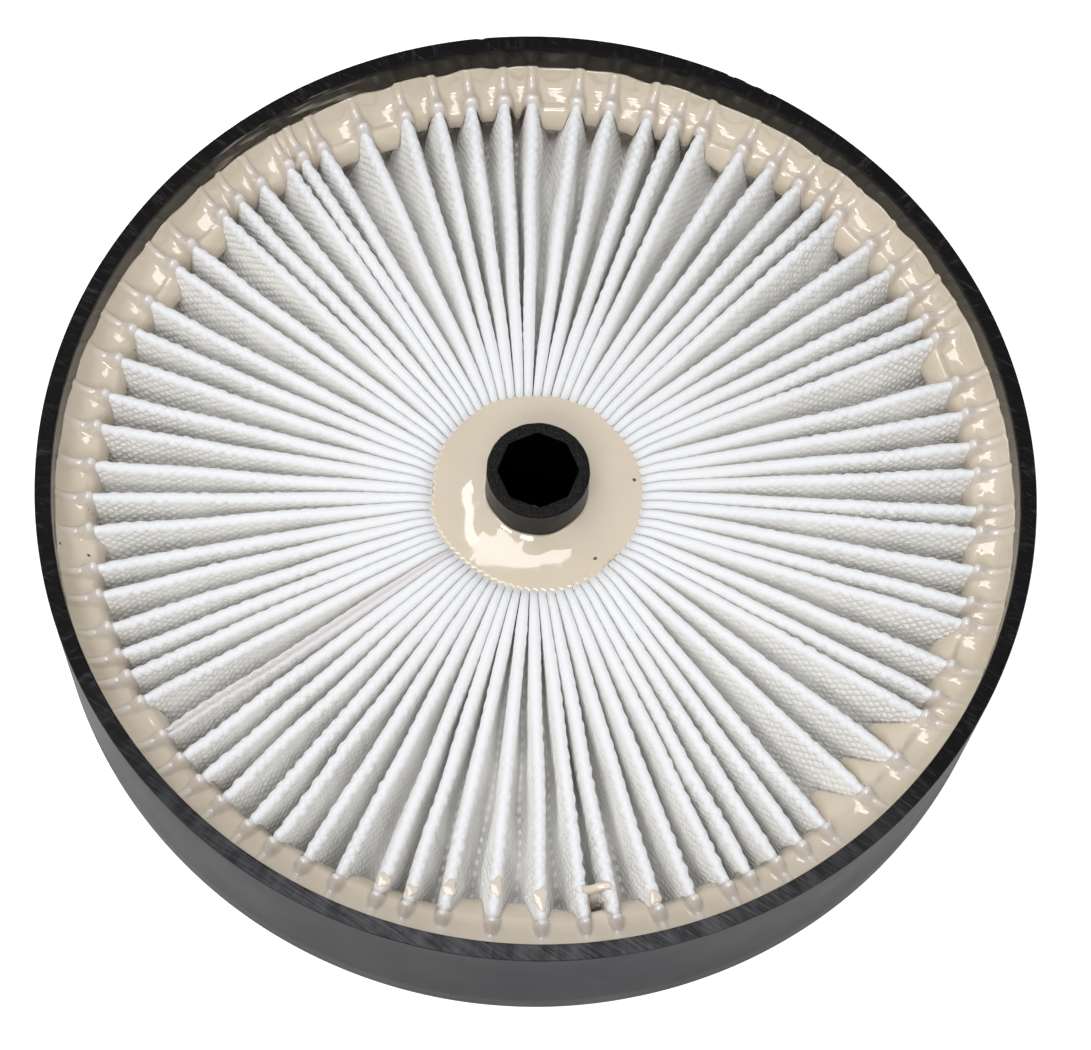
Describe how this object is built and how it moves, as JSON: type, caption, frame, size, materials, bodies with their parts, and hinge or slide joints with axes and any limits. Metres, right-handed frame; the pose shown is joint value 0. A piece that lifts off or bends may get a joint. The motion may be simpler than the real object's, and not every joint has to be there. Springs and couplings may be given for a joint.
{
  "type": "pleated filter element",
  "caption": "Flat round filter element: radial cloth pleats sealed with resin inside a plastic pipe ring, round a tube with an eight-sided bore.",
  "frame": {"origin": "middle of the ring's lower land, on the ring's axis", "axes": "+Z along the ring's axis, the flow direction; +X towards the first pleat"},
  "size_m": [0.16, 0.16, 0.0304],
  "materials": {
    "ring_plastic": "satin dark grey pipe plastic, rough black saw cuts",
    "tube_plastic": "satin black, rough saw cut",
    "filter_cloth": "soft white felt with a fine embossed net",
    "potting_resin": "glossy cast beige resin"
  },
  "bodies": {
    "root": {"outer_ring": "ring_plastic", "center_tube": "tube_plastic", "pleated_media": "filter_cloth", "rim_potting": "potting_resin", "hub_potting": "potting_resin"}
  },
  "joints": []
}
